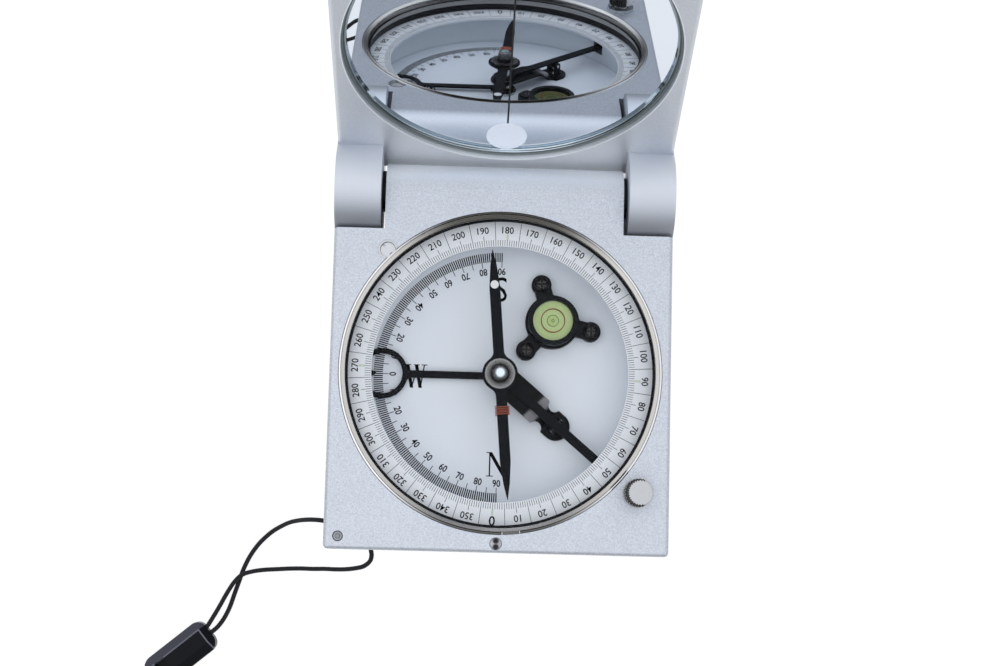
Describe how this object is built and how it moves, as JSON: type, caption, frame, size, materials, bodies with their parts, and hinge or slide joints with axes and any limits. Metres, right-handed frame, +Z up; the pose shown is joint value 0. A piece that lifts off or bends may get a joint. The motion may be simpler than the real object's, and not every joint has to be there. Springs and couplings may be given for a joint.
{
  "type": "geological compass",
  "caption": "Pocket geological compass with a hinged mirror lid, a lifting magnetic needle, a clinometer, a round level and a declination ring under glass.",
  "frame": {"origin": "on the flat underside of the case, below the dial's axis", "axes": "+Z up out of the dial, +Y towards the hinge, +X to the right"},
  "size_m": [0.1118, 0.1555, 0.0813],
  "materials": {
    "satin_aluminium": "bead-blasted and clear anodised, fine satin grain",
    "bright_nickel": "polished nickel",
    "turned_steel": "turned stainless steel",
    "button_nickel": "satin nickel, knurled rim",
    "adjuster_brass": "nickelled brass",
    "washer_bronze": "bronze",
    "dial_enamel": "pale blue-grey dial paint with black marks",
    "ring_enamel": "white dial paint with black marks",
    "black_anodised": "black anodised",
    "needle_blue_black": "blue-black steel",
    "dot_white": "white enamel dot",
    "jewel_clear": "clear jewel",
    "copper_wire": "enamelled copper wire",
    "window_clear": "clear mineral glass",
    "level_spirit": "yellow-green spirit",
    "level_air": "air bubble",
    "mirror_face": "clear bevelled plate glass",
    "mirror_silver": "silvered back with a sight line",
    "gasket_black": "black adhesive gasket",
    "sight_white": "white translucent plastic",
    "cord_black": "braided black cord",
    "clip_plastic": "moulded black plastic"
  },
  "bodies": {
    "case": {"case_body": "satin_aluminium", "lanyard_pin": "bright_nickel", "front_pin": "bright_nickel", "dial_plate": "dial_enamel", "spacer_ring": "black_anodised", "window_glass": "window_clear", "bezel_ring": "bright_nickel", "snap_ring": "bright_nickel", "pinion_bush": "button_nickel", "pivot_post": "turned_steel", "retaining_clip": "turned_steel", "lever_bracket": "black_anodised", "fulcrum_pin": "turned_steel", "bracket_screw": "turned_steel", "level_housing": "black_anodised", "level_lens": "window_clear", "level_liquid": "level_spirit", "level_bubble": "level_air", "level_screws": "black_anodised", "button_bush": "button_nickel", "button_spring": "turned_steel", "hinge_pins": "turned_steel", "hinge_washers": "black_anodised", "lanyard_strand_left": "cord_black", "lanyard_strand_front": "cord_black", "lanyard_bight": "cord_black", "cord_clip": "clip_plastic"},
    "lid": {"lid_frame": "satin_aluminium", "mirror_glass": "mirror_face", "mirror_coating": "mirror_silver", "gasket_ring": "gasket_black", "sight_window": "sight_white"},
    "button": {"lock_button": "button_nickel"},
    "lever": {"lift_lever": "black_anodised"},
    "lift": {"lift_ring": "turned_steel"},
    "needle_set": {"needle": "needle_blue_black", "needle_dot": "dot_white", "needle_cap": "turned_steel", "needle_jewel": "jewel_clear", "balance_coil": "copper_wire"},
    "clinometer": {"clinometer_pointer": "needle_blue_black", "clinometer_bush": "washer_bronze"},
    "adjuster": {"declination_pinion": "adjuster_brass"},
    "ring": {"graduated_ring": "ring_enamel"}
  },
  "joints": [
    {"name": "lid_hinge", "type": "hinge", "parent": "case", "child": "lid", "pos_m": [0, 0.0394, 0.014], "axis": [-1, 0, 0], "range_deg": [-115.5, 4.5]},
    {"name": "button_press", "type": "slide", "parent": "case", "child": "button", "axis": [0, 0, 1], "range_m": [-0.0008, 0], "stiffness_N_per_m": 400, "springref_m": 0.001, "deforming": ["button_spring"]},
    {"name": "lever_tilt", "type": "hinge", "parent": "case", "child": "lever", "pos_m": [0.01268, -0.01072, 0.01035], "axis": [0.6455, 0.7638, 0], "range_deg": [0, 2.07]},
    {"name": "needle_lift", "type": "slide", "parent": "case", "child": "lift", "axis": [0, 0, 1], "range_m": [0, 0.0006]},
    {"name": "needle_turn", "type": "hinge", "parent": "lift", "child": "needle_set", "pos_m": [0, 0, 0.015], "axis": [0, 0, 1], "continuous": true},
    {"name": "clinometer_swing", "type": "hinge", "parent": "case", "child": "clinometer", "pos_m": [0, 0, 0.0084], "axis": [0, 0, 1], "range_deg": [-90, 90]},
    {"name": "ring_turn", "type": "hinge", "parent": "case", "child": "ring", "pos_m": [0, 0, 0.015], "axis": [0, 0, 1], "range_deg": [-30, 30]},
    {"name": "adjuster_turn", "type": "hinge", "parent": "case", "child": "adjuster", "pos_m": [-0.02487, 0.02562, 0.015], "axis": [0, 0, 1], "range_deg": [-579, 579]}
  ],
  "couplings": [
    {"joint": "lever_tilt", "follows": "button_press", "rad_per_m": -45.005},
    {"joint": "needle_lift", "follows": "button_press", "ratio": -0.74708},
    {"joint": "adjuster_turn", "follows": "ring_turn", "ratio": -19.273}
  ]
}
